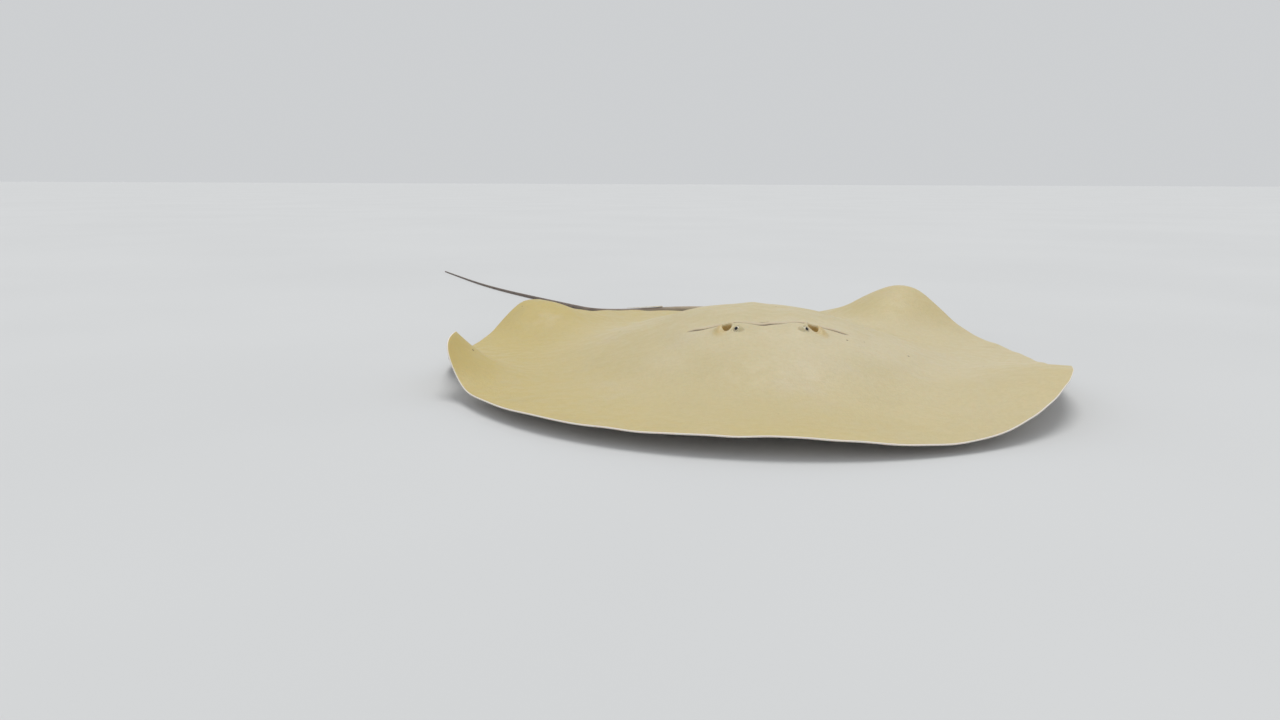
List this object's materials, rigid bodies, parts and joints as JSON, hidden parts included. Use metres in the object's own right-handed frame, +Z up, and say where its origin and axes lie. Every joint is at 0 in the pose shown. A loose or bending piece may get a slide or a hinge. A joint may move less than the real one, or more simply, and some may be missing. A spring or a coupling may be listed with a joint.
{
  "type": "freshwater stingray, life-size still model",
  "caption": "Flat round freshwater stingray resting on its belly, disc margin rippled up in lobes, long whip tail laid in a loose curve.",
  "frame": {"origin": "middle of the disc at floor level, on the flat of the belly", "axes": "+Z up from the belly to the back, snout towards -Y, tail towards +Y, the animal's left side towards +X"},
  "size_m": [0.5137, 0.7716, 0.0368],
  "materials": {
    "skin": "satin",
    "sting": "satin",
    "eye": "gloss"
  },
  "bodies": {
    "root": {"head": "skin", "trunk": "skin", "pectoral_fin_left": "skin", "pectoral_fin_right": "skin", "pelvic_fin_left": "skin", "pelvic_fin_right": "skin", "tail_1": "skin", "tail_2": "skin", "tail_3": "skin", "tail_4": "skin", "sting": "sting", "eye_left": "eye", "eye_right": "eye"}
  },
  "joints": []
}
